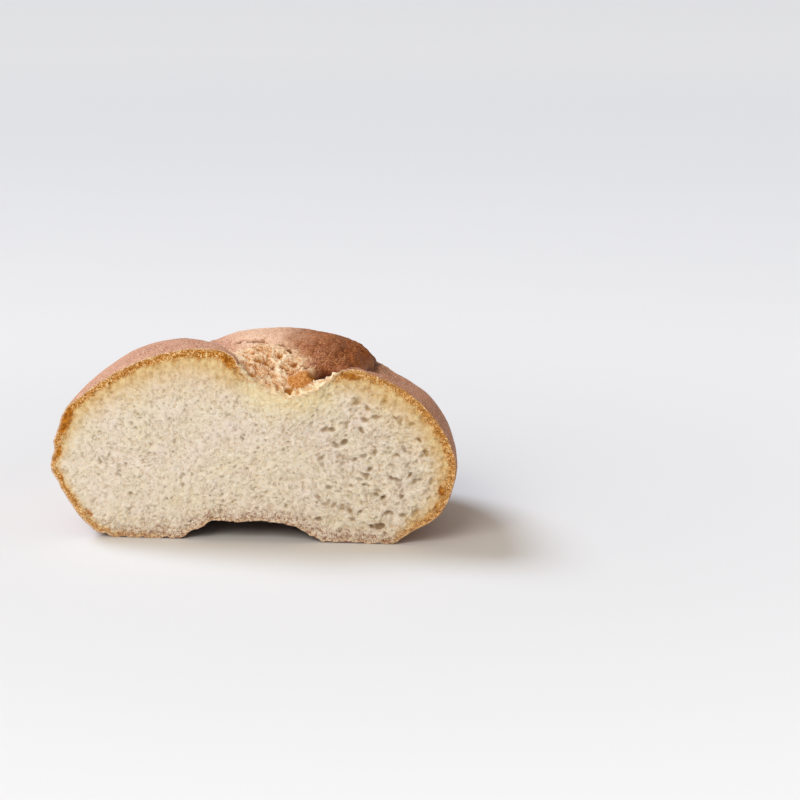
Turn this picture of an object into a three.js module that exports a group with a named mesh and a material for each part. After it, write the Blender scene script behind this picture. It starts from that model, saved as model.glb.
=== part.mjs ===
// Half of a crusty bread roll, cut across its width and standing on its base.
// Millimetres, +Z up. +X runs across the width, the cut face looks along -Y,
// and the origin lies on the resting plane under the middle of the half.
import * as THREE from 'three';

// Driving dimensions
const HALF_LENGTH = 55; // from the cut face to the rounded end
const CORE_HEIGHT = 14; // height that the rounded end closes on
const END_SHIFT = 1.5; // how far the rounded end sits off the middle, along +X
const SIDE_TAPER = 3; // power of the narrowing towards the end: higher stays full for longer
const BASE_TAPER = 2.6; // the same for the rise of the underside
const END_ROUNDNESS = 2.2; // power of the rounded end: 2 is an ellipse, higher is blunter
const MIDDLE_DEPTH = 26; // depth at which the middle section is reached
const SLASH_CLIMB = 24; // depth at which the floor of the slash has risen into the hump
const LOBE_SWELL = 1.0; // extra height of the long lobe between the two sections
const FLAT_BASE_LENGTH = 30; // the base stays level this far behind the cut
const HOLLOW_FADE_START = 19; // depth at which the hollow under the roll starts to close
const HOLLOW_FADE_END = 40; // depth at which it has closed
const SAMPLES_PER_SPAN = 3; // points on the section between two landmarks
const ROWS = 26; // rows of points from the cut to the end

// Landmarks of a section as [x, z], clockwise seen from the cut side: the outer
// foot of the long lobe, up over that lobe and its lip, down into the slash
// and up its other side, over the short lobe, and back along the underside.
const CUT_SECTION = [
  [-31.5, 0], [-36.2, 3.0], [-41.2, 9.2], [-44.8, 15.2], [-44.4, 19.8],
  [-43.0, 25.4], [-41.3, 29.2], [-36.8, 32.7], [-29.8, 37.5], [-21.5, 41.2],
  [-12.5, 43.1], [-6.0, 42.8], [-3.7, 41.2], [-2.6, 39.2], [0.3, 36.3],
  [4.2, 33.8], [8.6, 32.5], [13.2, 33.6], [16.9, 35.8], [18.8, 38.2],
  [21.6, 39.3], [25.5, 38.6], [32.9, 35.2], [38.9, 30.4], [43.2, 24.4],
  [45.0, 18.4], [44.3, 12.5], [41.7, 7.2], [37.0, 4.0], [33.4, 1.6],
  [31.2, 0], [16.5, 0], [13.7, 1.2], [11.4, 2.7], [8.6, 3.9],
  [3.0, 4.6], [-4.0, 4.3], [-9.7, 4.1], [-11.6, 2.8], [-14.2, 1.8],
  [-16.5, 0],
];
const MIDDLE_SECTION = [
  [-31.0, 0], [-36.6, 2.8], [-41.8, 8.6], [-44.8, 14.8], [-44.8, 20.0],
  [-43.6, 25.6], [-41.2, 29.8], [-37.8, 33.8], [-32.4, 37.7], [-26.2, 40.3],
  [-20.4, 41.1], [-17.6, 40.8], [-15.2, 40.6], [-12.6, 41.8], [-7.2, 43.9],
  [-0.6, 45.0], [7.0, 45.1], [12.8, 44.4], [18.2, 42.9], [22.4, 40.7],
  [26.0, 37.8], [29.4, 34.8], [34.4, 32.4], [38.8, 28.8], [42.4, 23.6],
  [43.9, 18.4], [43.2, 12.0], [40.8, 7.0], [36.8, 3.4], [33.4, 1.2],
  [31.2, 0], [16.5, 0], [13.7, 1.0], [11.4, 2.2], [8.6, 3.2],
  [3.0, 3.8], [-4.0, 3.6], [-9.7, 3.2], [-11.6, 2.4], [-14.2, 1.2],
  [-16.5, 0],
];
const LONG_LOBE = [4.5, 7, 10, 11.5]; // landmark numbers: swell starts, full, full, ends
const SLASH = [12.5, 14.5, 17.5, 19.5]; // the same for the floor of the slash
const UNDERSIDE_START = 30.5; // from this landmark on, a section is the underside

const { clamp, lerp, smoothstep } = THREE.MathUtils;

function sectionCurve(landmarks) {
  const points = landmarks.map(([x, z]) => new THREE.Vector3(x, 0, z));
  return new THREE.CatmullRomCurve3(points, true, 'centripetal');
}

const cutCurve = sectionCurve(CUT_SECTION);
const middleCurve = sectionCurve(MIDDLE_SECTION);

// 1 between the two middle values of a range, falling smoothly to 0 outside it.
function window(value, [start, full, fullEnd, end]) {
  return smoothstep(value, start, full) * (1 - smoothstep(value, fullEnd, end));
}

// How much of the section is left at a depth: 1 along the body, 0 at the end.
function endRounding(depth, start, taper) {
  const along = clamp((depth - start) / (HALF_LENGTH - start), 0, 1);
  return (1 - along ** taper) ** (1 / END_ROUNDNESS);
}

// A point of the outside: landmark is a place along the section, depth is in mm.
function surfacePoint(landmark, depth) {
  const atCut = cutCurve.getPoint(landmark / CUT_SECTION.length);
  const atMiddle = middleCurve.getPoint(landmark / MIDDLE_SECTION.length);
  const blend = smoothstep(depth, 0, MIDDLE_DEPTH);
  const climb = 1 - (1 - clamp(depth / SLASH_CLIMB, 0, 1)) ** 2;
  const x = lerp(atCut.x, atMiddle.x, blend);
  let z = lerp(atCut.z, atMiddle.z, lerp(blend, climb, window(landmark, SLASH)));
  const swell = Math.sin(Math.PI * clamp(depth / MIDDLE_DEPTH, 0, 1));
  z += LOBE_SWELL * swell * window(landmark, LONG_LOBE);
  if (landmark > UNDERSIDE_START) {
    z *= 1 - smoothstep(depth, HOLLOW_FADE_START, HOLLOW_FADE_END);
  }
  z = Math.max(z, 0);
  const width = endRounding(depth, 0, SIDE_TAPER);
  const height = z > CORE_HEIGHT ? width : endRounding(depth, FLAT_BASE_LENGTH, BASE_TAPER);
  return new THREE.Vector3(
    END_SHIFT * (depth / HALF_LENGTH) ** 2 + x * width,
    depth - HALF_LENGTH / 2,
    CORE_HEIGHT + (z - CORE_HEIGHT) * height,
  );
}

function rollGeometry() {
  const around = CUT_SECTION.length * SAMPLES_PER_SPAN;
  const points = [];
  for (let row = 0; row < ROWS; row += 1) {
    const depth = HALF_LENGTH * Math.sin((Math.PI / 2) * (row / ROWS));
    for (let column = 0; column < around; column += 1) {
      points.push(surfacePoint(column / SAMPLES_PER_SPAN, depth));
    }
  }
  const end = points.push(surfacePoint(0, HALF_LENGTH)) - 1;

  const triangles = [];
  for (let column = 0; column < around; column += 1) {
    const next = (column + 1) % around;
    for (let row = 0; row < ROWS - 1; row += 1) {
      const near = row * around;
      const far = near + around;
      triangles.push(near + column, near + next, far + column);
      triangles.push(near + next, far + next, far + column);
    }
    const last = (ROWS - 1) * around;
    triangles.push(last + column, last + next, end);
  }

  // The flat cut face, filled inside the first row of points.
  const outline = points.slice(0, around).map((point) => new THREE.Vector2(point.x, point.z));
  for (const [a, b, c] of THREE.ShapeUtils.triangulateShape(outline, [])) {
    triangles.push(a, b, c);
  }

  const geometry = new THREE.BufferGeometry().setFromPoints(points);
  geometry.setIndex(triangles);
  geometry.computeVertexNormals();
  return geometry;
}

const crust = new THREE.MeshStandardMaterial({ color: 0xc08a5c, roughness: 0.75, metalness: 0 });
const roll = new THREE.Mesh(rollGeometry(), crust);
roll.name = 'bread_roll_half';

const model = new THREE.Group();
model.add(roll);

export default model;
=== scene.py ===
"""Half of a crusty bread roll, cut across its width and standing on its base.

Lengths are worked out in millimetres and turned into metres when the mesh is made.
+X runs across the width, the cut face looks along -Y, and +Z is up.
"""
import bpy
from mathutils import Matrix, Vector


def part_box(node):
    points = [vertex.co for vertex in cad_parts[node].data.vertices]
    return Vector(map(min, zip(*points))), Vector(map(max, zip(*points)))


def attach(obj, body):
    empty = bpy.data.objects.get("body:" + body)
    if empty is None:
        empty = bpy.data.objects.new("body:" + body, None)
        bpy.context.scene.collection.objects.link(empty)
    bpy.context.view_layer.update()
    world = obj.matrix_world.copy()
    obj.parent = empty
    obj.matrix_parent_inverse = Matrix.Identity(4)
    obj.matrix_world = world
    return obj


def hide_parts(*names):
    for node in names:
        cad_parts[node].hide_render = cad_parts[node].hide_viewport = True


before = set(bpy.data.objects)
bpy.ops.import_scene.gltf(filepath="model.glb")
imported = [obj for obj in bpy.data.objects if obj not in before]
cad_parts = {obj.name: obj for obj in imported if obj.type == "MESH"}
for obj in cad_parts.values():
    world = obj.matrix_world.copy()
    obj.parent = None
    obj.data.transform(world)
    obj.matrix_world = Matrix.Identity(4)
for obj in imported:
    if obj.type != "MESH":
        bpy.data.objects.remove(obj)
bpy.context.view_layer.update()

from types import SimpleNamespace

import bpy
import numpy as np
from mathutils import Matrix, Vector

MM = 0.001
NODE = "bread_roll_half"
LOW, HIGH = (np.array(corner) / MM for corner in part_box(NODE))
FRONT = LOW[1]
HALF_LENGTH = HIGH[1] - LOW[1]
HALF_WIDTH = 0.5 * (HIGH[0] - LOW[0])

# The outside, as the solid model has it.
CORE_HEIGHT = 14.0
END_SHIFT = 1.5
SIDE_TAPER = 3.0
BASE_TAPER = 2.6
END_ROUNDNESS = 2.2
MIDDLE_DEPTH = 26.0
SLASH_CLIMB = 24.0
LOBE_SWELL = 1.0
FLAT_BASE_LENGTH = 30.0
HOLLOW_FADE_START = 19.0
HOLLOW_FADE_END = 40.0

# Landmarks of a section as (x, z), clockwise seen from the cut side: the outer foot of
# the long lobe, up over that lobe and its lip, down into the slash and up its other
# side, over the short lobe, and back along the underside.
CUT_SECTION = np.array([
    (-31.5, 0), (-36.2, 3.0), (-41.2, 9.2), (-44.8, 15.2), (-44.4, 19.8),
    (-43.0, 25.4), (-41.3, 29.2), (-36.8, 32.7), (-29.8, 37.5), (-21.5, 41.2),
    (-12.5, 43.1), (-6.0, 42.8), (-3.7, 41.2), (-2.6, 39.2), (0.3, 36.3),
    (4.2, 33.8), (8.6, 32.5), (13.2, 33.6), (16.9, 35.8), (18.8, 38.2),
    (21.6, 39.3), (25.5, 38.6), (32.9, 35.2), (38.9, 30.4), (43.2, 24.4),
    (45.0, 18.4), (44.3, 12.5), (41.7, 7.2), (37.0, 4.0), (33.4, 1.6),
    (31.2, 0), (16.5, 0), (13.7, 1.2), (11.4, 2.7), (8.6, 3.9),
    (3.0, 4.6), (-4.0, 4.3), (-9.7, 4.1), (-11.6, 2.8), (-14.2, 1.8),
    (-16.5, 0),
], float)
MIDDLE_SECTION = np.array([
    (-31.0, 0), (-36.6, 2.8), (-41.8, 8.6), (-44.8, 14.8), (-44.8, 20.0),
    (-43.6, 25.6), (-41.2, 29.8), (-37.8, 33.8), (-32.4, 37.7), (-26.2, 40.3),
    (-20.4, 41.1), (-17.6, 40.8), (-15.2, 40.6), (-12.6, 41.8), (-7.2, 43.9),
    (-0.6, 45.0), (7.0, 45.1), (12.8, 44.4), (18.2, 42.9), (22.4, 40.7),
    (26.0, 37.8), (29.4, 34.8), (34.4, 32.4), (38.8, 28.8), (42.4, 23.6),
    (43.9, 18.4), (43.2, 12.0), (40.8, 7.0), (36.8, 3.4), (33.4, 1.2),
    (31.2, 0), (16.5, 0), (13.7, 1.0), (11.4, 2.2), (8.6, 3.2),
    (3.0, 3.8), (-4.0, 3.6), (-9.7, 3.2), (-11.6, 2.4), (-14.2, 1.2),
    (-16.5, 0),
], float)
LAPS = float(len(CUT_SECTION))  # a section is run round once as the landmark number goes 0..LAPS

# Where things lie along a section, as landmark numbers. Four numbers say where a thing
# starts, is full, stops being full, and ends.
LONG_LOBE = (4.5, 7, 10, 11.5)
SLASH = (12.5, 14.5, 17.5, 19.5)
HUMP = (13.0, 14.5, 19.5, 21.5)
UNDERSIDE_START = 30.5
HOLLOW_BENEATH = (30.6, 33.0, 38.5, 41.0)
LEFT_LIP = 12.9  # the crust of the long lobe ends here and the torn slash begins
RIGHT_LIP = 19.0  # the torn slash ends here, at the crust of the short lobe
ROLLED_LIP = (LEFT_LIP - 1.4, LEFT_LIP - 0.5, LEFT_LIP - 0.3, LEFT_LIP + 0.1)
FOLDED_CRUST = (18, 19.5, 21, 22)
SUNK_TOP = (19.0, 20.1, 21.5, 23.0)
TORN_RIM = (12.5, 13.5, 18.5, 19.5)
LUMPY_SHOULDER = (1.5, 2.5, 5.0, 6.5)
HEEL = (0.1, 0.7, 1.5, 2.6)

# How the cut crust looks along a section: landmark number, thickness in mm of the browned
# band, how brown it is (0 to 1), width in mm of the golden crumb inside it, and how much
# pinkish-brown dust covers the edge (0 to 1).
CRUST_ON_CUT = np.array([
    (0.0, 0.9, 0.45, 0.8, 0.8), (1.0, 1.3, 0.80, 1.0, 0.5), (2.0, 1.2, 0.80, 1.2, 0.1),
    (3.5, 1.5, 0.85, 1.4, 0.0), (4.6, 1.9, 0.95, 2.2, 0.0), (5.5, 1.9, 0.95, 2.8, 0.0),
    (6.5, 1.6, 0.95, 3.4, 0.0), (8.0, 1.8, 0.95, 4.2, 0.0), (10.0, 2.0, 1.00, 5.5, 0.0),
    (11.5, 2.5, 1.00, 7.0, 0.0), (12.5, 2.6, 1.00, 7.0, 0.0), (13.2, 2.0, 0.70, 5.5, 0.0),
    (14.2, 0.7, 0.06, 2.0, 0.0), (18.0, 0.7, 0.06, 2.0, 0.0), (18.8, 1.6, 0.65, 4.5, 0.0),
    (20.5, 1.6, 0.80, 6.5, 0.0), (22.0, 1.7, 0.85, 5.0, 0.0), (24.0, 1.9, 0.88, 4.2, 0.1),
    (26.0, 2.0, 0.82, 3.2, 0.2), (27.5, 1.7, 0.75, 2.2, 0.4), (29.0, 1.2, 0.45, 1.4, 0.6),
    (30.3, 0.6, 0.10, 0.5, 1.0), (33.0, 0.5, 0.12, 0.5, 0.9), (38.0, 0.5, 0.12, 0.5, 0.9),
    (40.0, 0.6, 0.15, 0.5, 1.0), (41.0, 0.9, 0.45, 0.8, 0.8),
])

# Smooth amber spots in the cut crust: x, z, half-length, half-width, turn in degrees.
AMBER_SPOTS = [
    (-41.1, 26.4, 3.8, 1.35, 64), (-43.2, 19.0, 1.3, 0.7, 80), (41.9, 12.4, 1.2, 0.9, 70),
    (22.2, 37.4, 2.8, 0.9, -10), (-4.9, 40.2, 1.9, 1.0, -60), (-42.6, 13.2, 1.2, 0.5, -60),
    (-36.9, 5.3, 1.6, 0.5, -50), (40.5, 8.8, 1.3, 0.45, 60),
]

# Relief heights in mm.
SUNK_TOP_DROP = 1.3
CREASE_DROP = 0.9
ROLLED_LIP_HEIGHT = 0.35
SHOULDER_LUMPS = 0.35
HEEL_HEIGHT = 0.75
CHIP_HEIGHT = 0.45

# The mesh: spacings in mm, and the level line that the rings of the cut face close on.
FACE_STEP = 0.29
SLASH_STEP = 0.30
CRUST_STEP = 0.74
FACE_RINGS = 72
CORE_LINE = 24.0  # half its length
CORE_LINE_HEIGHT = 19.5
CORE_LINE_STEP = 1.6 * FACE_STEP
FINE_TURNS = int(LAPS) * 24  # places round a section at which its length is measured
SLASH_MIDDLE = 16.0  # the landmark along which the depths of the rings are spaced
FACE_PARTS = 40
LOOK_BLUR = 0.2  # mm2, which blurs the crust's look along the outline

# The texture map: the outside rolled out below, and the cut face above it.
MAP_MARGIN = 0.005
OUTSIDE_ACROSS, OUTSIDE_UP = 0.985, 0.455
FACE_BOTTOM = 0.475
FACE_SPAN = 2.06 * HALF_WIDTH  # mm of the cut face to the whole width of the map

# The set, in metres, linear colours and light units.
FLOOR_REACH = 30.0
# The floor's colours: darker near the roll as painted shade, brighter far off as painted light.
FLOOR_SHADED_NEAR = (0.81, 0.81, 0.81, 1)
FLOOR_AROUND = (0.90, 0.90, 0.90, 1)
FLOOR_LIT_FAR = (0.99, 0.98, 0.955, 1)
KEY_POWER = 1.96
FILL_POWER = 12.6


# ---------------------------------------------------------------- small sums

def ramp01(x, low, high):
    """0 below low, 1 above high, an S-curve between."""
    part = np.clip((x - low) / (high - low), 0, 1)
    return part * part * (3 - 2 * part)


def window(x, start, full, full_end, end):
    """1 between the two middle values, falling smoothly to 0 outside."""
    return ramp01(x, start, full) * (1 - ramp01(x, full_end, end))


def blend(a, b, part):
    """a changed into b by a part from 0 to 1."""
    return a + (b - a) * part


def lattice(cells, seed):
    """A repeatable random number 0..1 for each whole-number cell: its coordinates, hashed."""
    x, y, z = (cells[..., axis].astype(np.uint64) for axis in range(3))
    mixed = x * np.uint64(73856093) ^ y * np.uint64(19349663) ^ z * np.uint64(83492791)
    mixed = mixed ^ np.uint64(2654435761) * np.uint64(seed + 1)
    mixed = (mixed ^ (mixed >> np.uint64(29))) * np.uint64(0xBF58476D1CE4E5B9)
    mixed = (mixed ^ (mixed >> np.uint64(32))) * np.uint64(0x94D049BB133111EB)
    return ((mixed >> np.uint64(40)) & np.uint64(0xFFFF)).astype(float) / 0xFFFF


TWIST = np.array([(0.36, 0.48, -0.8), (-0.8, 0.6, 0.0), (0.48, 0.64, 0.6)])  # a turn about a slant axis


def noise(points, size, seed, octaves=2):
    """Smooth noise about 0, mostly within -1 to 1, with features of a size in mm.

    Random numbers on a cubic lattice, blended between its corners with an S-curve. Each
    further octave is half as wide and half as high, and turned so that the lattices differ.
    """
    total = np.zeros(len(points))
    height = 1.0
    for octave in range(octaves):
        scaled = points / size * 2.0 ** octave
        cell = np.floor(scaled)
        part = scaled - cell
        part = part * part * (3 - 2 * part)
        for corner in np.ndindex(2, 2, 2):
            weight = np.where(corner, part, 1 - part).prod(axis=1)
            value = 2 * lattice((cell + corner).astype(np.int64), seed + octave) - 1
            total += height * weight * value
        points = points @ TWIST
        height *= 0.5
    return total


def scattered(points, size, seed):
    """Distances, in cell sizes, from each point to the nearest two of many scattered seeds.

    Each cell of a cubic lattice of a size in mm holds one seed at a random place.
    """
    scaled = points / size
    home = np.floor(scaled)
    first = np.full(len(points), 9.0)
    second = first.copy()
    for corner in np.ndindex(3, 3, 3):
        cell = home + corner - 1
        whole = cell.astype(np.int64)
        place = np.stack([lattice(whole, seed + axis) for axis in range(3)], axis=1)
        distance = np.linalg.norm(cell + place - scaled, axis=1)
        second = np.minimum(second, np.maximum(first, distance))
        first = np.minimum(first, distance)
    return first, second


# ---------------------------------------------------------------- the smooth outside

def along_section(landmarks, turn):
    """Points of a closed centripetal Catmull-Rom curve through landmarks, at landmark numbers."""
    count = len(landmarks)
    start = np.floor(turn).astype(int)
    part = (turn - start)[:, None]
    before, here, after, beyond = (landmarks[(start + k) % count] for k in (-1, 0, 1, 2))
    first, middle, last = (
        np.sqrt(np.linalg.norm(b - a, axis=1, keepdims=True))
        for a, b in ((before, here), (here, after), (after, beyond))
    )
    leave = (here - before) / first - (after - before) / (first + middle) + (after - here) / middle
    arrive = (after - here) / middle - (beyond - here) / (middle + last) + (beyond - after) / last
    leave, arrive = leave * middle, arrive * middle
    rise = after - here
    bend = leave + arrive - 2 * rise
    return here + part * (leave + part * (3 * rise - 2 * leave - arrive + part * bend))


def end_rounding(depth, start, taper):
    """How much of the section is left at a depth: 1 along the body, 0 at the rounded end."""
    along = np.clip((depth - start) / (HALF_LENGTH - start), 0, 1)
    return (1 - along ** taper) ** (1 / END_ROUNDNESS)


def smooth_outside(turn, depth):
    """Points of the smooth outside.

    turn is a landmark number and depth is mm behind the cut. The section at the cut blends
    into the middle section, the slash climbs faster, the hollow under the roll closes, and
    the whole is rounded off towards the end.
    """
    at_cut = along_section(CUT_SECTION, turn)
    at_middle = along_section(MIDDLE_SECTION, turn)
    slow = ramp01(depth, 0, MIDDLE_DEPTH)
    climb = 1 - (1 - np.clip(depth / SLASH_CLIMB, 0, 1)) ** 2
    x = blend(at_cut[:, 0], at_middle[:, 0], slow)
    z = blend(at_cut[:, 1], at_middle[:, 1], blend(slow, climb, window(turn, *SLASH)))
    swell = np.sin(np.pi * np.clip(depth / MIDDLE_DEPTH, 0, 1))
    z = z + LOBE_SWELL * swell * window(turn, *LONG_LOBE)
    closing = 1 - ramp01(depth, HOLLOW_FADE_START, HOLLOW_FADE_END)
    z = np.maximum(np.where(turn > UNDERSIDE_START, z * closing, z), 0)
    width = end_rounding(depth, 0, SIDE_TAPER)
    height = np.where(z > CORE_HEIGHT, width, end_rounding(depth, FLAT_BASE_LENGTH, BASE_TAPER))
    return np.stack([
        END_SHIFT * (depth / HALF_LENGTH) ** 2 + x * width,
        FRONT + depth,
        CORE_HEIGHT + (z - CORE_HEIGHT) * height,
    ], axis=1)


def outward(turn, depth):
    """Unit normals of the smooth outside: the cross product of its two directions."""
    step_turn, step_depth = 0.02, 0.05
    deep = np.minimum(depth, HALF_LENGTH - 2 * step_depth)
    near = np.maximum(deep - step_depth, 0)
    round_it = (smooth_outside((turn + step_turn) % LAPS, deep)
                - smooth_outside((turn - step_turn) % LAPS, deep))
    along_it = smooth_outside(turn, deep + step_depth) - smooth_outside(turn, near)
    normal = np.cross(round_it, along_it)
    return normal / np.maximum(np.linalg.norm(normal, axis=1, keepdims=True), 1e-9)


# ---------------------------------------------------------------- relief of the outside

# The edge of the torn slash away from the cut, as a depth at each x.
TORN_EDGE_X = [-12, -8, -3.3, 1.9, 6.9, 9.6, 12.3, 14.5, 18]
TORN_EDGE_DEPTH = [9, 11, 12.5, 12.5, 11.2, 9.0, 6.5, 4.5, 3.0]

# Cavities in and beside the slash: x, depth behind the cut, half-length, half-width, turn
# in degrees from +X towards the back, and how deep.
CAVITIES = [
    (1.7, 6.3, 1.9, 0.75, -8, 2.0),
    (0.0, 8.3, 1.1, 0.35, 5, 0.9),
    (5.6, 8.4, 0.9, 0.5, 10, 1.2),
    (-4.4, 14.9, 1.0, 0.45, 10, 1.0),
    (-0.8, 13.8, 2.1, 0.75, -12, 1.6),
    (1.2, 12.3, 0.9, 0.3, 10, 1.0),
    (5.2, 11.8, 0.9, 0.4, 10, 1.0),
    (7.5, 10.3, 0.9, 0.35, -20, 0.9),
    (15.8, 4.0, 3.4, 1.8, 4, 3.0),
    (8.2, 1.3, 0.9, 0.5, 0, 1.3),
    (0.3, 1.9, 1.5, 0.35, -25, 1.1),
    (11.0, 6.2, 0.8, 0.4, -10, 0.9),
    (4.4, 5.2, 0.8, 0.35, 20, 1.0),
    (6.6, 5.6, 0.8, 0.45, -10, 1.0),
    (8.8, 6.9, 0.6, 0.35, 10, 0.8),
    (-3.0, 9.9, 0.9, 0.3, 0, 0.8),
    (-1.0, 3.6, 1.3, 0.28, -20, 0.8),
    (19.4, 14.2, 1.2, 0.45, 25, 0.8),
    (22.6, 22.0, 1.4, 0.5, 10, 0.9),
    (24.6, 12.4, 1.3, 0.5, 40, 0.8),
]
# A blister of smooth skin in the slash: x, depth, half-length, half-width, turn in degrees.
BLISTER = (10.9, 3.0, 3.3, 1.9, 8)
BLISTER_HEIGHT = 0.8

# The crease between the hump and the short lobe, as x at each depth.
CREASE_DEPTH = [0, 3, 8, 14, 22, 32, 45]
CREASE_X = [17.6, 20.0, 22.6, 25.6, 26.4, 25.0, 18.0]


def oval(x, y, place, half_length, half_width, degrees):
    """1 less the squared distance from an oval's middle, as shares of its two half-sizes.

    It is 1 at the middle, 0 at the rim and below 0 outside.
    """
    angle = np.radians(degrees)
    x, y = x - place[0], y - place[1]
    u = (x * np.cos(angle) + y * np.sin(angle)) / half_length
    v = (y * np.cos(angle) - x * np.sin(angle)) / half_width
    return 1 - u * u - v * v


def slash_tear(smooth, turn, depth, wander):
    """The torn slash: between the two lips, and from the cut back to a wavering edge."""
    across = window(turn + 0.2 * wander, LEFT_LIP - 0.1, LEFT_LIP + 0.2, RIGHT_LIP - 0.1, RIGHT_LIP + 0.3)
    edge = np.interp(smooth[:, 0], TORN_EDGE_X, TORN_EDGE_DEPTH) + 1.6 * wander + 0.8 * noise(smooth, 1.0, 13)
    return across * (1 - ramp01(depth, edge - 2.5, edge + 2.5))


def slash_threads(smooth, depth, wander):
    """Threads pulled out in the tear: where either of two stretched noises is near zero."""
    along = 0.87 * smooth[:, 0] - 0.5 * depth
    over = 0.87 * depth + 0.5 * smooth[:, 0]
    level = 0.6 * smooth[:, 2] + 0.8 * wander
    long_way = np.abs(noise(np.stack([0.25 * along, 0.95 * over, level], axis=1), 1.0, 35, 1))
    short_way = np.abs(noise(np.stack([over, 0.4 * along, level], axis=1), 1.4, 37, 1))
    return 1 - ramp01(np.minimum(long_way, 1.6 * short_way), 0.0, 0.22)


def cavities_and_blister(smooth, turn, depth):
    """Ovals with ragged rims on the upper side: steep-walled cavities, and one blister."""
    x = smooth[:, 0] + 0.5 * noise(smooth, 1.0, 21)
    behind = depth + 0.35 * noise(smooth, 0.9, 23)
    upper = (turn > LEFT_LIP - 1) & (turn < RIGHT_LIP + 3)
    cavity, hollow = np.zeros(len(x)), np.zeros(len(x))
    for *place, half_length, half_width, degrees, how_deep in CAVITIES:
        inside = np.where(upper, oval(x, behind, place, half_length, half_width, degrees), 0)
        pressed = np.clip(inside, 0, 1) ** 0.4
        cavity = np.maximum(cavity, pressed)
        hollow = np.maximum(hollow, how_deep * pressed)
    *place, half_length, half_width, degrees = BLISTER
    skin = np.where(upper, oval(x, behind, place, half_length, half_width, degrees), -1)
    blister = ramp01(skin, 0.0, 0.3)
    return {"cavity": cavity, "hollow": hollow, "blister": blister, "skin": np.clip(skin, 0, 1)}


def lobe_crease(smooth, turn, depth, wander):
    """The crease between the hump and the short lobe, and a faint band up the hump's side: both are sunk a
    little and painted darker as shade.
    """
    past = smooth[:, 0] + 0.5 * noise(smooth, 2.5, 31) - np.interp(depth, CREASE_DEPTH, CREASE_X)
    width = (1.4 + 0.5 * noise(smooth, 4.0, 33)) * (1 - 0.6 * ramp01(depth, 20, 40))
    hump_side = np.where(past < 0, 0.3 * (1 - ramp01(np.abs(past), 0.5, 5.0)), 0)
    crease = np.maximum(1 - ramp01(np.abs(past), 0.0, width), hump_side)
    crease = np.where((turn > 15) & (turn < 23), crease, 0)
    return crease * (1 - ramp01(depth + 3 * wander, 26, 42))


def outside_features(smooth, turn, depth):
    """What lies where on the outside. All are 0..1, except hollow, which is in mm.

    torn is the open slash, strand its pulled threads, open and open_fine its large and small
    pits, and sunken both of them where no thread runs, for the painted shade in the slash's
    pits. cavity marks the cavities, hollow says how deep they are, blister marks the smooth
    flake and skin domes it. crease is the fold beside the short lobe, whose colour is painted
    darker as shade. hump the hump and dark its browner side, lobe the short lobe, whose crust
    is painted darker as shade, under the baked lower side, and hidden the hollow beneath,
    which is painted near-black as shade.
    """
    x = smooth[:, 0]
    wander = noise(smooth, 3.0, 11)
    torn = slash_tear(smooth, turn, depth, wander)
    strand = slash_threads(smooth, depth, wander) * torn
    near, next_near = scattered(smooth * (0.6, 1.0, 1.0), 1.7, 51)
    fine_near, fine_next = scattered(smooth * (0.7, 1.0, 1.0), 0.85, 61)
    looseness = ramp01(noise(smooth, 4.0, 71), -0.6, 0.3)
    pit = looseness * ramp01(next_near - near, 0.06, 0.5)
    fine_pit = ramp01(fine_next - fine_near, 0.05, 0.45)
    hump = window(turn, *HUMP) * (1 - ramp01(depth + 2 * wander, 30, 48))
    browner = 0.9 * ramp01(x + 2.5 * wander, 2.0, 13.0) + 0.1 * ramp01(x, 13.0, 22.0)
    lower_side = (turn > 25) | (turn < 4)
    run_back = 1 - ramp01(depth + 2.5 * noise(smooth, 5.0, 15), 8.0, 36.0)
    return {
        **cavities_and_blister(smooth, turn, depth),
        "torn": torn,
        "strand": strand,
        "open": pit,
        "open_fine": fine_pit,
        "sunken": np.clip(0.8 * pit + 0.4 * fine_pit - strand, 0, 1),
        "crease": lobe_crease(smooth, turn, depth, wander),
        "hump": hump,
        "dark": hump * browner,
        "lobe": ramp01(turn, 19.5, 21.5) * (1 - ramp01(depth + 4 * wander, 22, 46)),
        "under": np.where(lower_side, 1 - ramp01(smooth[:, 2] + 1.2 * wander, 2.0, 12.0), 0),
        "hidden": window(turn + 0.3 * wander, *HOLLOW_BENEATH) * run_back,
    }


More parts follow.
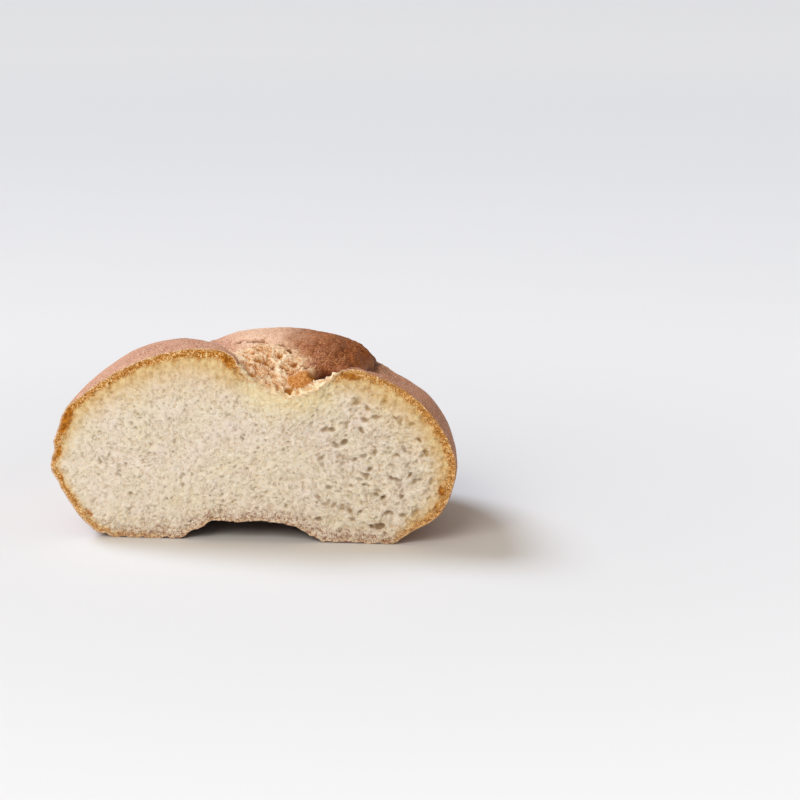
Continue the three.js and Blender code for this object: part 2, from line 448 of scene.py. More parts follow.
def relief(smooth, turn, depth, seen):
    """How far the real outside stands above the smooth one, in mm.

    The crust has long swells, small lumps, scuffs on the hump, and folds and a crease beside
    the short lobe, whose top is sunk behind the cut. The slash is a net of threads with pits
    between them, and over it lie the blister and the cavities. Then come the rolled lip, the
    lumpy shoulder, the heel and the crumbly edge round the cut. All of it fades to nothing
    on the flats that the roll stands on.
    """
    lumps = 0.22 * noise(smooth, 11.0, 41) + 0.07 * noise(smooth, 2.6, 43)
    scuffs = ramp01(noise(smooth * (0.7, 1.0, 1.0), 1.3, 85), 0.2, 0.8)
    worn = (0.18 * noise(smooth, 1.6, 81, 3) - 0.35 * scuffs) * (0.4 + 0.6 * seen["dark"]) * seen["hump"]
    folds = 0.45 * np.abs(noise(smooth, 1.5, 91)) * window(turn, *FOLDED_CRUST)
    sunk = SUNK_TOP_DROP * window(turn, *SUNK_TOP) * window(depth, 1.0, 4.0, 20.0, 32.0)
    crust = lumps + worn - sunk + (folds - CREASE_DROP * seen["crease"]) * ramp01(depth, 0, 2)

    pits = 0.75 * seen["open"] + 0.25 * seen["open_fine"]
    net = 0.2 - pits + 0.5 * seen["strand"]
    flake = lumps + 0.2 + BLISTER_HEIGHT * np.sqrt(seen["skin"]) + 0.12 * noise(smooth, 0.9, 87)
    total = blend(crust, lumps + net, seen["torn"])
    total = blend(total, flake, seen["blister"]) - seen["hollow"]

    near_cut = 1 - ramp01(depth, 0.6, 3.0)
    lip = ROLLED_LIP_HEIGHT * window(turn, *ROLLED_LIP)
    shoulder = near_cut * window(turn, *LUMPY_SHOULDER) * SHOULDER_LUMPS * noise(smooth, 2.2, 93)
    heel = HEEL_HEIGHT * window(turn, *HEEL) * (1 - ramp01(depth, 5.0, 15.0))
    crumbly = near_cut * (0.09 + 0.3 * ramp01(turn, 30.2, 31.2) + 0.12 * window(turn, *TORN_RIM))
    total = total + lip + shoulder + heel + crumbly * noise(smooth, 1.0, 95, 3)
    return total * ramp01(smooth[:, 2], 0.0, 1.2)


# ---------------------------------------------------------------- pores of the cut face

# Large pores near the short lobe's side, listed one by one: x, z, half-length, half-width, turn, depth.
LARGE_PORES = [
    (28.4, 3.9, 1.25, 0.75, 20, 1.1), (26.6, 3.9, 0.6, 0.55, 0, 0.8), (30.9, 15.0, 0.8, 0.5, -50, 0.7),
    (30.0, 7.1, 1.0, 0.45, 35, 0.7), (38.5, 20.8, 0.95, 0.6, -60, 0.9), (37.0, 23.7, 0.85, 0.35, -55, 0.8),
    (29.1, 10.5, 0.9, 0.45, 45, 0.7), (24.0, 7.2, 0.8, 0.4, 30, 0.6), (25.2, 15.6, 0.9, 0.4, 40, 0.6),
    (35.1, 15.8, 0.9, 0.4, 60, 0.7), (33.3, 10.8, 0.8, 0.45, 50, 0.6), (32.4, 20.2, 0.7, 0.35, -40, 0.6),
    (27.2, 21.9, 0.7, 0.35, -30, 0.5), (31.8, 28.5, 0.8, 0.4, -40, 0.7), (35.6, 27.2, 0.7, 0.45, 10, 0.7),
]
# The grid that pores are stamped on: its pitch and lower left corner in mm, and its size.
GRID_PITCH = 0.1
GRID_START = np.array([-47.0, -1.0])
GRID_COLUMNS, GRID_ROWS = 940, 470


def scatter_pores(random, count, across, up, lengths, flatness, depth):
    """Random pores as columns: x, z, half-length, half-width, turn in radians, depth in mm.

    Lengths and flatness are ranges to draw from. A pore's half-width is its half-length
    times its flatness, and it is depth times as deep as that. The pores on either side of
    the roll lean outwards.
    """
    x = random.uniform(*across, count)
    z = random.uniform(*up, count)
    half_length = random.uniform(*lengths, count)
    half_width = half_length * random.uniform(*flatness, count)
    angle = random.normal(0.5, 0.7, count) * np.sign(x + 4)
    return np.stack([x, z, half_length, half_width, angle, depth * half_width], axis=1)


def pore_depths(x, z):
    """How deep the cut face is pitted at each point, in mm.

    Every pore is half an ellipsoid pressed in. They are stamped on a fine grid, the
    deepest one wins, and the grid is read back at the points.
    """
    random = np.random.default_rng(7)
    wide, tall = (-46, 46), (0, 45)
    groups = [
        scatter_pores(random, 1900, wide, tall, (0.22, 0.42), (0.4, 0.8), 1.7),
        scatter_pores(random, 200, (-42, 44), tall, (0.4, 0.7), (0.4, 0.7), 1.1),
        scatter_pores(random, 165, (14, 44), (2, 34), (0.5, 1.15), (0.4, 0.65), 0.9),
        np.array(LARGE_PORES) * (1, 1, 1, 1, np.pi / 180, 1),
    ]
    depths = np.zeros((GRID_COLUMNS, GRID_ROWS))
    for group in groups:
        reach = int(np.ceil(group[:, 2].max() / GRID_PITCH)) + 1
        steps = np.arange(-reach, reach + 1)
        middle = np.round((group[:, :2] - GRID_START) / GRID_PITCH).astype(int)
        column = middle[:, 0, None, None] + steps[None, :, None]
        row = middle[:, 1, None, None] + steps[None, None, :]
        place_x, place_z, half_length, half_width, angle, how_deep = group.T[:, :, None, None]
        x_off = GRID_START[0] + column * GRID_PITCH - place_x
        z_off = GRID_START[1] + row * GRID_PITCH - place_z
        u = (x_off * np.cos(angle) + z_off * np.sin(angle)) / half_length
        v = (z_off * np.cos(angle) - x_off * np.sin(angle)) / half_width
        pressed = how_deep * np.sqrt(np.clip(1 - u * u - v * v, 0, 1))
        column, row = np.broadcast_arrays(column, row)
        inside = (column >= 0) & (column < GRID_COLUMNS - 1) & (row >= 0) & (row < GRID_ROWS - 1)
        np.maximum.at(depths, (column[inside], row[inside]), pressed[inside])
    at = (np.stack([x, z], axis=1) - GRID_START) / GRID_PITCH
    cell = np.clip(np.floor(at).astype(int), 0, (GRID_COLUMNS - 2, GRID_ROWS - 2))
    part = at - cell
    (i, j), (p, q) = cell.T, part.T
    return ((1 - p) * (1 - q) * depths[i, j] + p * (1 - q) * depths[i + 1, j]
            + (1 - p) * q * depths[i, j + 1] + p * q * depths[i + 1, j + 1])


def crumb_pits(points, at_face):
    """Depths in mm of the pores, and of the shallow pits between the crumb's thin walls."""
    face = points[at_face] * (1, 0, 1)
    pores, pits = np.zeros(len(points)), np.zeros(len(points))
    pores[at_face] = pore_depths(face[:, 0], face[:, 2])
    near, next_near = scattered(face * (1, 1, 1.25), 1.25, 111)
    fine_near, fine_next = scattered(face, 0.75, 115)
    looser = 1 + 0.5 * ramp01(face[:, 0], 0, 28)
    pits[at_face] = (0.28 * looser * ramp01(next_near - near, 0.03, 0.4)
                     + 0.16 * ramp01(fine_next - fine_near, 0.03, 0.4)
                     + 0.08 * noise(face, 3.5, 101) + 0.14 * looser * noise(face, 0.8, 103))
    return pores, pits


# ---------------------------------------------------------------- the mesh

# What the mesh keeps for its material at every vertex: outside_features has the first, the
# columns of CRUST_ON_CUT are the second, and the third is of the cut face. rim is in mm
# inwards from the outline, and below 0 behind the cut.
OUTSIDE_VALUES = ("torn", "strand", "sunken", "cavity", "hollow", "blister", "crease", "hump",
                  "dark", "lobe", "under", "hidden")
CRUST_VALUES = ("band", "brown", "golden", "speckle")
FACE_VALUES = ("rim", "pore", "pit", "amber")


def on_core_line(outside):
    """Where each point of the outline is drawn in to: the level line, at its share of the width."""
    share = np.clip(outside[:, 0] / HALF_WIDTH, -1, 1)
    return np.stack([CORE_LINE * share, outside[:, 1], np.full(len(outside), CORE_LINE_HEIGHT)], axis=1)


def ring_points(turn, depth, reach):
    """Smooth points for one ring, straight between the level line (reach 0) and the outside (1)."""
    outside = smooth_outside(turn, depth)
    middle = on_core_line(outside)
    return middle + (outside - middle) * reach[:, None]


def spaced_turns(depth, reach, step_of):
    """Landmark numbers round one ring, spaced so that neighbours lie about step_of mm apart."""
    fine = np.linspace(0, LAPS, FINE_TURNS + 1)
    depths, reaches = np.full(len(fine), depth), np.full(len(fine), reach)
    points = ring_points(fine % LAPS, depths, reaches)
    lengths = np.linalg.norm(np.diff(points, axis=0), axis=1)
    middle = 0.5 * (fine[1:] + fine[:-1])
    travelled = np.concatenate([[0], np.cumsum(lengths / step_of(middle, depth))])
    count = max(int(round(travelled[-1])), 6)
    return np.interp(np.arange(count) * travelled[-1] / count, travelled, fine)


def face_step(turn, depth):
    """Spacing on the cut face: the same everywhere."""
    return FACE_STEP


def outside_step(turn, depth):
    """Spacing on the outside: fine in the slash and near the cut, wider elsewhere."""
    near_cut = 1 - ramp01(np.full_like(turn, depth), 0.5, 5)
    crust = blend(CRUST_STEP, FACE_STEP, near_cut)
    in_slash = window(turn, 11.8, 12.8, 20.5, 22) * (1 - ramp01(depth, 26, 31))
    return blend(crust, np.minimum(SLASH_STEP, crust), in_slash)


def row_depths():
    """Depths of the rings behind the cut: evenly spaced over the surface, wider past the slash."""
    angle = np.linspace(0, np.pi / 2, 2000)
    fine = HALF_LENGTH * np.sin(angle)
    path = smooth_outside(np.full(len(fine), SLASH_MIDDLE), fine)
    lengths = np.linalg.norm(np.diff(path, axis=0), axis=1)
    middle = 0.5 * (fine[1:] + fine[:-1])
    step = 0.33 + 0.12 * ramp01(middle, 14, 18) + 0.40 * ramp01(middle, 25, 32)
    travelled = np.concatenate([[0], np.cumsum(lengths / step)])
    count = int(travelled[-1])
    return np.interp(np.arange(1, count) * travelled[-1] / count, travelled, fine)


def core_line_ring():
    """The innermost ring: points of the level line, run along the top and back underneath.

    Returns the vertex number and landmark number of each of its places, in ring order, and
    the landmark number of each vertex of the line.
    """
    fine = np.linspace(0, LAPS, FINE_TURNS, endpoint=False)
    x = smooth_outside(fine, np.zeros(len(fine)))[:, 0]
    left, right = fine[np.argmin(x)], fine[np.argmax(x)]
    top = (fine >= left) & (fine <= right)
    below = np.concatenate([fine[fine >= right], fine[fine <= left] + LAPS])
    count = int(2 * CORE_LINE / CORE_LINE_STEP)
    places = np.linspace(-1, 1, count + 1) * HALF_WIDTH
    upper = np.interp(places, x[top], fine[top])
    below_x = smooth_outside(below % LAPS, np.zeros(len(below)))[:, 0]
    lower = np.interp(-places[1:-1], -below_x, below) % LAPS
    vertex = np.concatenate([np.arange(count + 1), np.arange(1, count)])
    turn = np.concatenate([upper, lower])
    order = np.argsort(turn)
    return vertex[order], turn[order], upper


def strip(inner, inner_turn, outer, outer_turn):
    """Triangles between two closed rings that may have different counts.

    Both are walked round together, and each edge of one is joined to the vertex that the
    other has reached. Vertices are given by number, places by landmark number.
    """
    inner_end = np.append(inner_turn[1:], inner_turn[0] + LAPS)
    outer_end = np.append(outer_turn[1:], outer_turn[0] + LAPS)
    reached_outer = np.searchsorted(outer_end, inner_end, side="left") % len(outer)
    reached_inner = np.searchsorted(inner_end, outer_end, side="right") % len(inner)
    first = np.stack([inner, outer[reached_outer], np.roll(inner, -1)], axis=1)
    second = np.stack([np.roll(outer, -1), inner[reached_inner], outer], axis=1)
    return np.concatenate([first, second])


def lay_rings():
    """Join ring to ring, from the level line out over the cut face and back to the far end.

    Returns each vertex's landmark number, depth and reach, and the triangles.
    """
    inner, inner_turn, line_turn = core_line_ring()
    turns, depths, reaches = [line_turn], [np.zeros(len(line_turn))], [np.zeros(len(line_turn))]
    count = len(line_turn)
    triangles = []
    rings = [(0.0, k / FACE_RINGS, face_step) for k in range(1, FACE_RINGS + 1)]
    rings += [(depth, 1.0, outside_step) for depth in row_depths()]
    for depth, reach, step_of in rings:
        turn = spaced_turns(depth, reach, step_of)
        outer = count + np.arange(len(turn))
        triangles.append(strip(inner, inner_turn, outer, turn))
        turns.append(turn)
        depths.append(np.full(len(turn), depth))
        reaches.append(np.full(len(turn), reach))
        count += len(turn)
        inner, inner_turn = outer, turn
    pole = np.full(len(inner), count)
    triangles.append(np.stack([inner, pole, np.roll(inner, -1)], axis=1))
    turn = np.append(np.concatenate(turns), 0.0)
    depth = np.append(np.concatenate(depths), HALF_LENGTH)
    reach = np.append(np.concatenate(reaches), 1.0)
    return turn, depth, reach, np.concatenate(triangles)[:, ::-1]


def raise_points(turn, depth, reach, smooth, seen):
    """The relief added along the normals, and chips out of the lower edge of the cut.

    The cut face is drawn in from the raised outline, whose unevenness dies out inwards.
    """
    raised = smooth + outward(turn, depth) * relief(smooth, turn, depth, seen)[:, None]
    raised[:, 1] = np.where(depth == 0, FRONT, np.maximum(raised[:, 1], FRONT))
    chipped = (1 - ramp01(depth, 0.3, 1.8)) * (1 - ramp01(smooth[:, 2], 0.6, 1.6))
    chips = np.clip(noise(smooth, 1.3, 97, 3) + 0.2, 0, 1)
    raised[:, 2] = np.maximum(raised[:, 2], 0) + chipped * CHIP_HEIGHT * chips
    raised[-1] = smooth[-1]  # the far pole stays where it is
    reach = reach[:, None]
    middle = on_core_line(smooth)
    eased = smooth + (raised - smooth) * reach ** 8
    return np.where(reach < 1, middle + (eased - middle) * reach, raised)


def cut_crust_look(points, turn, depth, reach):
    """How far inside the outline each point of the cut face lies, and its crust's look.

    The look is that of the outline, averaged with weights that fall off with the sixth
    power of the distance. The points are taken in parts, to save memory.
    """
    on_edge = (depth == 0) & (reach == 1)
    edge = points[on_edge][:, [0, 2]]
    landmark, *columns = CRUST_ON_CUT.T
    look = np.stack([np.interp(turn, landmark, column) for column in columns], axis=1)
    inside = np.zeros(len(turn))
    for part in np.array_split(np.flatnonzero(reach < 1), FACE_PARTS):
        gaps = ((points[part][:, None, [0, 2]] - edge) ** 2).sum(axis=2)
        inside[part] = np.sqrt(gaps.min(axis=1))
        weight = (gaps + LOOK_BLUR) ** -3
        look[part] = weight @ look[on_edge] / weight.sum(axis=1, keepdims=True)
    return inside, look


def amber_spots(points, at_face):
    """The amber spots of the cut crust: ovals with ragged rims."""
    ragged_x = points[:, 0] + 0.3 * noise(points, 0.9, 121)
    ragged_z = points[:, 2] + 0.3 * noise(points, 0.9, 123)
    amber = np.zeros(len(points))
    for *place, half_length, half_width, degrees in AMBER_SPOTS:
        inside = oval(ragged_x, ragged_z, place, half_length, half_width, degrees)
        amber = np.maximum(amber, ramp01(inside, 0.0, 0.6) * at_face)
    return amber


def build_roll():
    """Lay the rings, raise the outside, pit the crumb, and note what the material reads."""
    turn, depth, reach, triangles = lay_rings()
    at_face = reach < 1
    smooth = smooth_outside(turn, depth)
    seen = outside_features(smooth, turn, depth)
    points = raise_points(turn, depth, reach, smooth, seen)
    inside, look = cut_crust_look(points, turn, depth, reach)
    pores, pits = crumb_pits(points, at_face)
    points[:, 1] += (pores + pits) * ramp01(inside, 0.0, 0.45)
    values = {name: seen[name] for name in OUTSIDE_VALUES}
    values.update(zip(CRUST_VALUES, look.T))
    values["rim"] = np.where(at_face, inside, -depth)
    # The pores' and pits' depths, which the crumb's colour also darkens as painted shade.
    values["pore"] = pores
    values["pit"] = pits
    values["amber"] = amber_spots(points, at_face)
    return points, triangles, values, turn, depth, at_face


def unwrap(points, triangles, turn, depth, at_face):
    """Texture places of each triangle's corners: the outside rolled out, the cut face above it.

    The outside takes the lower part of the map, with turn across and depth up, and the cut
    face takes the upper part, seen from the front.
    """
    fine = np.linspace(0, LAPS, 2000)
    outline = smooth_outside(fine % LAPS, np.zeros(len(fine)))
    travelled = np.concatenate([[0], np.cumsum(np.linalg.norm(np.diff(outline, axis=0), axis=1))])
    across = np.interp(turn, fine, travelled / travelled[-1])
    back = np.arcsin(np.clip(depth / HALF_LENGTH, 0, 1)) / (np.pi / 2)
    outside_u = across[triangles]
    wraps = outside_u.max(axis=1) - outside_u.min(axis=1) > 0.5
    outside_u = np.where(wraps[:, None] & (outside_u < 0.5), outside_u + 1, outside_u)
    outside_v = back[triangles]
    outside = MAP_MARGIN + np.stack([OUTSIDE_ACROSS * outside_u, OUTSIDE_UP * outside_v], axis=2)
    face = np.stack([
        0.5 + points[triangles, 0] / FACE_SPAN,
        FACE_BOTTOM + points[triangles, 2] / FACE_SPAN,
    ], axis=2)
    on_face = at_face[triangles].any(axis=1)
    return np.where(on_face[:, None, None], face, outside)


def make_mesh(name, points, triangles, values, uv):
    """A mesh object in metres with its per-vertex values as attributes and its texture map."""
    mesh = bpy.data.meshes.new(name)
    mesh.vertices.add(len(points))
    mesh.vertices.foreach_set("co", (points * MM).astype(np.float32).ravel())
    mesh.loops.add(triangles.size)
    mesh.loops.foreach_set("vertex_index", triangles.astype(np.int32).ravel())
    mesh.polygons.add(len(triangles))
    mesh.polygons.foreach_set("loop_start", np.arange(0, triangles.size, 3, dtype=np.int32))
    mesh.update(calc_edges=True)
    mesh.validate()
    for key, value in values.items():
        attribute = mesh.attributes.new(key, "FLOAT", "POINT")
        attribute.data.foreach_set("value", value.astype(np.float32))
    layer = mesh.uv_layers.new(name="OFBake")
    layer.data.foreach_set("uv", uv.astype(np.float32).ravel())
    mesh.polygons.foreach_set("use_smooth", np.ones(len(triangles), dtype=bool))
    piece = bpy.data.objects.new(name, mesh)
    bpy.context.scene.collection.objects.link(piece)
    return piece


# ---------------------------------------------------------------- materials

def colour(code):
    """A linear colour from a six-digit screen colour."""
    parts = (int(code[k:k + 2], 16) / 255 for k in (0, 2, 4))
    return tuple(p / 12.92 if p <= 0.04045 else ((p + 0.055) / 1.055) ** 2.4 for p in parts) + (1.0,)


class Socket:
    """A socket of a node tree, so that shader maths can be written as expressions."""

    def __init__(self, paint, socket):
        self.paint, self.socket = paint, socket

    def __add__(self, other):
        return self.paint.maths("ADD", self, other)

    def __sub__(self, other):
        return self.paint.maths("SUBTRACT", self, other)

    def __rsub__(self, other):
        return self.paint.maths("SUBTRACT", other, self)

    def __mul__(self, other):
        return self.paint.maths("MULTIPLY", self, other)

    def __truediv__(self, other):
        return self.paint.maths("DIVIDE", self, other)

    def __rtruediv__(self, other):
        return self.paint.maths("DIVIDE", other, self)

    def __abs__(self):
        return self.paint.maths("ABSOLUTE", self)

    __radd__, __rmul__ = __add__, __mul__


class Paint:
    """The node tree of a material or of the world, with one method that adds any node."""

    def __init__(self, owner):
        owner.use_nodes = True
        self.owner, self.tree = owner, owner.node_tree
        self.tree.nodes.clear()

    def node(self, kind, settings=None, inputs=None, output=0):
        """Add a node: its settings first, then the values or links of its inputs."""
        made = self.tree.nodes.new(kind)
        for key, value in (settings or {}).items():
            setattr(made, key, value)
        for key, value in (inputs or {}).items():
            if isinstance(value, Socket):
                self.tree.links.new(value.socket, made.inputs[key])
            elif value is not None:
                made.inputs[key].default_value = colour(value) if isinstance(value, str) else value
        return Socket(self, made.outputs[output]) if made.outputs else None

    def maths(self, operation, a, b=None):
        """One sum on one or two values."""
        return self.node("ShaderNodeMath", {"operation": operation}, {0: a, 1: b})

    def clamp(self, value, low, high):
        """0 at low, 1 at high, straight between (low may be above high)."""
        return self.node("ShaderNodeMapRange", {"clamp": True}, {0: value, 1: low, 2: high})

    def step(self, value, low, high):
        """0 at low, 1 at high, an S-curve between (low may be above high)."""
        return self.node("ShaderNodeMapRange", {"interpolation_type": "SMOOTHSTEP"},
                         {0: value, 1: low, 2: high})

    def mix(self, part, a, b):
        """One colour changed into another by a part from 0 to 1."""
        return self.node("ShaderNodeMix", {"data_type": "RGBA"}, {0: part, 6: a, 7: b}, 2)

    def stored(self, name):
        """A value that the mesh keeps at every vertex."""
        return self.node("ShaderNodeAttribute", {"attribute_name": name}, output=2)

    def coordinates(self):
        """Object coordinates, in metres."""
        return self.node("ShaderNodeTexCoord", output=3)

    def place(self, stretch=(1, 1, 1), degrees=0):
        """Object coordinates in millimetres, turned about the vertical and then stretched."""
        turned = self.node("ShaderNodeMapping", {}, {
            "Vector": self.coordinates(), "Rotation": (0, 0, np.radians(degrees))})
        return self.node("ShaderNodeMapping", {}, {
            "Vector": turned, "Scale": tuple(s / MM for s in stretch)})

    def grain(self, where, size, detail=2.0, rough=0.5):
        """Noise from 0 to 1 with features of a size in mm."""
        return self.node("ShaderNodeTexNoise", {}, {
            "Vector": where, "Scale": 1 / size, "Detail": detail, "Roughness": rough})

    def surface(self, inputs):
        """End the tree in a surface with these inputs, and return the material."""
        shader = self.node("ShaderNodeBsdfPrincipled", {}, inputs)
        self.node("ShaderNodeOutputMaterial", {}, {"Surface": shader})
        return self.owner


def bread_grain(p):
    """Noises of several sizes that all of the bread's colours share, and the crumb's walls."""
    where = p.place()
    small = p.grain(where, 0.75, 2.0, 0.6)
    fine = p.grain(where, 0.30, 2.0, 0.6)
    curls = p.grain(p.place((1.0, 1.0, 1.3)), 0.8, 1.0, 0.5)
    thin_curls = p.grain(p.place((1.3, 1.0, 1.0)), 0.5, 0.0)
    return SimpleNamespace(
        coarse=p.grain(where, 7.0),
        middle=p.grain(where, 1.7, 3.0, 0.6),
        small=small,
        fine=fine,
        grains=fine * 0.65 + small * 0.35,
        wall=p.clamp(abs(curls - 0.5), 0.055, 0.0),
        thin_wall=p.clamp(abs(thin_curls - 0.5), 0.06, 0.0),
    )


def crumb_colour(p, seen, grain):
    """Warm off-white, near-white on the thin walls, with painted shade: tan-grey in the pits and brown in the
    pores.
    """
    crumb = p.mix(p.clamp(grain.coarse, 0.3, 0.7), "f1e5c9", "f5e6d8")
    crumb = p.mix(p.clamp(grain.middle, 0.50, 0.36) * 0.30, crumb, "c9b084")
    # Painted shade: tan-grey where the crumb's shallow pits are deeper.
    crumb = p.mix(p.clamp(seen.pit, 0.12, 0.50) * 0.46, crumb, "ba9c6e")
    crumb = p.mix(p.clamp(grain.small, 0.47, 0.35) * 0.55, crumb, "a88c62")
    crumb = p.mix(grain.wall * 0.8, crumb, "fffaf0")
    crumb = p.mix(grain.thin_wall * 0.6, crumb, "fffaf0")
    # Painted shade: brown in the pores, darker where they are deeper.
    return p.mix(p.clamp(seen.pore, 0.12, 0.55) * 0.8, crumb, "8e6f45")


def cut_face_colour(p, seen, grain):
    """The crumb, browned outwards: cream, golden, a granular brown band, a thin pale rim.

    Pinkish-brown dust covers the lower edge, and amber spots lie in the band.
    """
    cream = p.mix(p.clamp(grain.grains, 0.38, 0.60), "f6dc9e", "fff6d4")
    cream_zone = p.step(seen.rim + (grain.middle - 0.5) * 2.5, 7.0, 0.5)
    cream_part = cream_zone * (1 - seen.brown) * (1 - seen.speckle) * 0.85
    face = p.mix(cream_part, crumb_colour(p, seen, grain), cream)

    inwards = seen.rim + (grain.middle - 0.5) * 1.6 + (grain.coarse - 0.5) * 1.2
    patches = p.clamp(grain.middle * 0.7 + grain.grains * 0.3, 0.40, 0.60)
    golden_zone = p.clamp((inwards - seen.band) / seen.golden, 1.0, -0.2)
    golden_part = golden_zone * p.clamp(seen.brown, 0.0, 0.6) * 0.9
    face = p.mix(golden_part, face, p.mix(patches, "bc802e", "f6dfa4"))
    face = p.mix(p.clamp(inwards / seen.golden, 2.4, 0.6) * seen.brown * 0.4, face, "ecc678")

    baked = p.mix(p.clamp(grain.grains, 0.41, 0.51), "8c5008", "d48e2c")
    baked = p.mix(p.clamp(grain.grains, 0.52, 0.60), baked, "f8dcaa")
    face = p.mix(p.step(inwards / seen.band, 1.35, 0.7) * seen.brown, face, baked)

    dust_zone = p.step(seen.rim + (grain.small - 0.5) * 2.5, 4.4, 0.4)
    face = p.mix(dust_zone * seen.speckle * p.clamp(grain.grains, 0.54, 0.42), face, "a0705a")
    amber = p.mix(p.clamp(grain.small, 0.4, 0.6), "9a5806", "d68812")
    face = p.mix(seen.amber * 0.85, face, amber)
    pale_rim = p.mix(p.clamp(grain.fine, 0.4, 0.6), "d9a97c", "fbe2c2")
    return p.mix(p.step(seen.rim, 0.50, 0.2) * (0.75 - seen.lobe * 0.55), face, pale_rim)


def crust_colour(p, seen, grain):
    """Pinkish brown on the lobes, painted darker on the short lobe as shade, and tan to dark brown
    on the hump, with pale and dark specks.

    The lower side is orange brown. The hollow beneath is painted near-black as shade, and the crease dark
    brown as painted shade.
    """
    blotch = p.clamp(grain.coarse * 0.6 + grain.middle * 0.4, 0.38, 0.60)
    top = p.mix(blotch, "b27454", "d2997c")
    # Painted shade: the short lobe's crust is a darker brown.
    top = p.mix(seen.lobe, top, p.mix(blotch, "9a5430", "c4805a"))
    top = p.mix(seen.hump, top, p.mix(blotch, "dba682", "f6d0b2"))
    top = p.mix(seen.dark, top, p.mix(blotch, "742e04", "a85818"))
    top = p.mix(p.clamp(grain.small, 0.54, 0.66) * (1 - seen.dark) * 0.35, top, "f6cfb2")
    dusting = p.clamp(grain.coarse * 0.5 + grain.middle * 0.5, 0.60, 0.42) * 0.5 + 0.35
    pale_speck = p.mix(seen.dark, "f9d6ba", "d3985e")
    top = p.mix(p.clamp(grain.fine, 0.52, 0.61) * dusting, top, pale_speck)
    dark_speck = p.mix(seen.dark, "84482f", "4c1e06")
    top = p.mix(p.clamp(grain.fine, 0.48, 0.38) * 0.5, top, dark_speck)
    bottom = p.mix(p.clamp(grain.middle, 0.35, 0.65), "7c3f12", "a25e1d")
    bottom = p.mix(p.clamp(grain.fine, 0.52, 0.66) * 0.4, bottom, "cf9450")
    # Painted shade: the hollow beneath the roll is darkened to near-black.
    bottom = p.mix(seen.hidden, bottom, "38150a")
    crust = p.mix(seen.under, top, bottom)
    # Painted shade: the crease and the band beside it are darkened to dark brown.
    return p.mix(seen.crease * 0.7, crust, "451c0a")


def slash_colour(p, seen, grain):
    """Tan and gold, with painted shade in brown over the pits, pale pulled threads and a pale edge at the
    cut.
    """
    tear = p.mix(p.clamp(grain.middle, 0.35, 0.65), "c98646", "f4c690")
    tear = p.mix(p.clamp(grain.small, 0.49, 0.34) * 0.65, tear, "96561e")
    tear = p.mix(p.clamp(grain.fine, 0.51, 0.60) * 0.6, tear, "fbe3c6")
    tear = p.mix(p.clamp(grain.fine, 0.47, 0.38) * 0.7, tear, "8c4612")
    # Painted shade: the pits between the threads are browner.
    tear = p.mix(seen.sunken * 0.42, tear, "bc7630")
    pulled = p.grain(p.place((0.25, 1.1, 0.9), 30), 0.75, 1.0)
    tear = p.mix(p.clamp(abs(pulled - 0.5), 0.04, 0.0) * 0.7, tear, "ffe9c8")
    tear = p.mix(seen.strand * 0.85, tear, "ffeccc")
    return p.mix(p.step(seen.rim, -2.0, -0.1) * 0.7, tear, "ffeec4")


def outside_colour(p, seen, grain):
    """The crust with the torn slash and the smooth flake, with painted shade in the cavities over it."""
    outside = p.mix(seen.torn, crust_colour(p, seen, grain), slash_colour(p, seen, grain))
    flake = p.mix(p.clamp(grain.grains, 0.42, 0.60), "a85c18", "e0a660")
    outside = p.mix(seen.blister, outside, flake)
    # Painted shade in the cavities: dark amber, browner outside the tear and near-black where deepest, the
    # amber standing in for light scattered through the crumb.
    pocket_shade = p.mix(p.clamp(grain.middle, 0.4, 0.6), "cc8a0c", "9a5408")
    pocket_shade = p.mix(p.clamp(seen.torn, 0.9, 0.5), pocket_shade, "5e2608")
    pocket_shade = p.mix(p.clamp(seen.hollow, 1.9, 2.7), pocket_shade, "2e1204")
    return p.mix(p.clamp(seen.cavity, 0.1, 0.7) * 0.9, outside, pocket_shade)


def bread_material():
    """Matte bread: pale crumb on the cut and brown crust outside, with a fine grain in relief."""
    p = Paint(bpy.data.materials.new("bread"))
    names = OUTSIDE_VALUES + CRUST_VALUES + FACE_VALUES
    seen = SimpleNamespace(**{name: p.stored(name) for name in names})
    grain = bread_grain(p)
    outside = p.clamp(seen.rim, 0.02, -0.02)
    height = grain.fine * 0.14 + grain.small * 0.14 + grain.wall * (1 - outside) * 0.10
    return p.surface({
        "Base Color": p.mix(outside, cut_face_colour(p, seen, grain), outside_colour(p, seen, grain)),
        "Roughness": 0.80 - outside * (1 - seen.torn) * 0.16 - outside * seen.under * 0.14,
        "Normal": p.node("ShaderNodeBump", {}, {"Strength": 0.8, "Distance": MM, "Height": height}),
        "Subsurface Weight": 0.06,
        "Subsurface Scale": 0.0015,
        "Subsurface Radius": (1.0, 0.7, 0.45),
        "Specular IOR Level": 0.22,
    })


def floor_material():
    """A matte white sheet, painted darker around the roll as shade and lighter far away as painted light."""
    p = Paint(bpy.data.materials.new("pale_floor"))
    away = p.node("ShaderNodeVectorMath", {"operation": "LENGTH"}, {0: p.coordinates()}, 1)
    # Painted shade near the roll, and painted light farther away.
    sheet = p.mix(p.step(away, 0.05, 0.26), FLOOR_SHADED_NEAR, FLOOR_AROUND)
    sheet = p.mix(p.step(away, 0.5, 3.0), sheet, FLOOR_LIT_FAR)
    return p.surface({"Base Color": sheet, "Roughness": 0.9, "Specular IOR Level": 0.1})


# ---------------------------------------------------------------- set, light and camera

def studio_floor():
    """One level sheet, wide enough to fill the view."""
    corners = [(-FLOOR_REACH, -FLOOR_REACH, 0), (FLOOR_REACH, -FLOOR_REACH, 0),
               (FLOOR_REACH, FLOOR_REACH, 0), (-FLOOR_REACH, FLOOR_REACH, 0)]
    mesh = bpy.data.meshes.new("studio_floor")
    mesh.from_pydata(corners, [], [(0, 1, 2, 3)])
    floor = bpy.data.objects.new("studio_floor", mesh)
    bpy.context.scene.collection.objects.link(floor)
    floor.data.materials.append(floor_material())


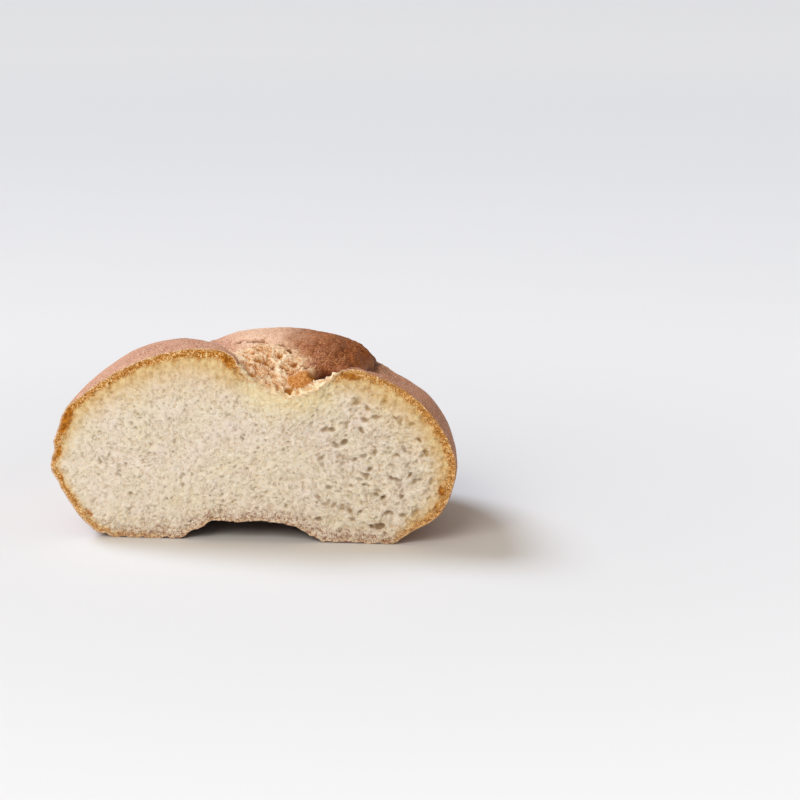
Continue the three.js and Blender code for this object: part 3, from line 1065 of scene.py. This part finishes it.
def add_light(kind, name, towards, distance, power, tint, **settings):
    """A light in a direction from the roll and at a distance in mm, facing it."""
    lamp = bpy.data.lights.new(name, kind)
    lamp.energy = power
    lamp.color = tint
    for key, value in settings.items():
        setattr(lamp, key, value)
    light = bpy.data.objects.new(name, lamp)
    direction = Vector(towards).normalized()
    light.location = direction * distance * MM
    light.rotation_euler = direction.to_track_quat("Z", "Y").to_euler()
    bpy.context.scene.collection.objects.link(light)


def surroundings(low, high, spread):
    """Light all round: one colour at the horizon changing to another by a height (a sine)."""
    world = bpy.data.worlds.new("soft_room")
    p = Paint(world)
    height = p.node("ShaderNodeSeparateXYZ", {}, {0: p.coordinates()}, 2)
    light = p.mix(p.step(height, 0.0, spread), (*low, 1), (*high, 1))
    p.node("ShaderNodeOutputWorld", {}, {
        "Surface": p.node("ShaderNodeBackground", {}, {"Color": light})})
    bpy.context.scene.world = world


def set_camera(azimuth, elevation, distance, aim, lens):
    """A camera at an azimuth from -Y towards +X and an elevation, aimed at a point in mm."""
    turn, tilt = np.radians((azimuth, elevation))
    back = Vector((np.sin(turn) * np.cos(tilt), -np.cos(turn) * np.cos(tilt), np.sin(tilt)))
    right = Vector((np.cos(turn), np.sin(turn), 0))
    up = back.cross(right)
    lens_data = bpy.data.cameras.new("camera")
    lens_data.lens = lens
    lens_data.sensor_width = 36
    lens_data.clip_start = 0.01
    camera = bpy.data.objects.new("camera", lens_data)
    place = (Vector(aim) + back * distance) * MM
    camera.matrix_world = Matrix.Translation(place) @ Matrix((right, up, back)).transposed().to_4x4()
    bpy.context.scene.collection.objects.link(camera)
    bpy.context.scene.camera = camera


# ---------------------------------------------------------------- the scene

points, triangles, values, turn, depth, at_face = build_roll()
uv = unwrap(points, triangles, turn, depth, at_face)
roll = make_mesh("cut_roll", points, triangles, values, uv)
roll.data.materials.append(bread_material())
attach(roll, "root")
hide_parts(NODE)

studio_floor()
set_camera(azimuth=5.5, elevation=12.0, distance=460.0, aim=(30.4, -1.5, 27.0), lens=90.0)
add_light("SUN", "key", (-0.84, 0.40, 1.0), 1000.0, KEY_POWER, (0.91, 1.01, 1.18), angle=0.42)
add_light("AREA", "fill", (-0.35, -1.0, 0.78), 1600.0, FILL_POWER, (1.0, 0.93, 0.84), size=0.9)
surroundings((0.645, 0.582, 0.512), (0.295, 0.266, 0.234), 0.7)
bpy.context.scene.view_settings.view_transform = "Standard"
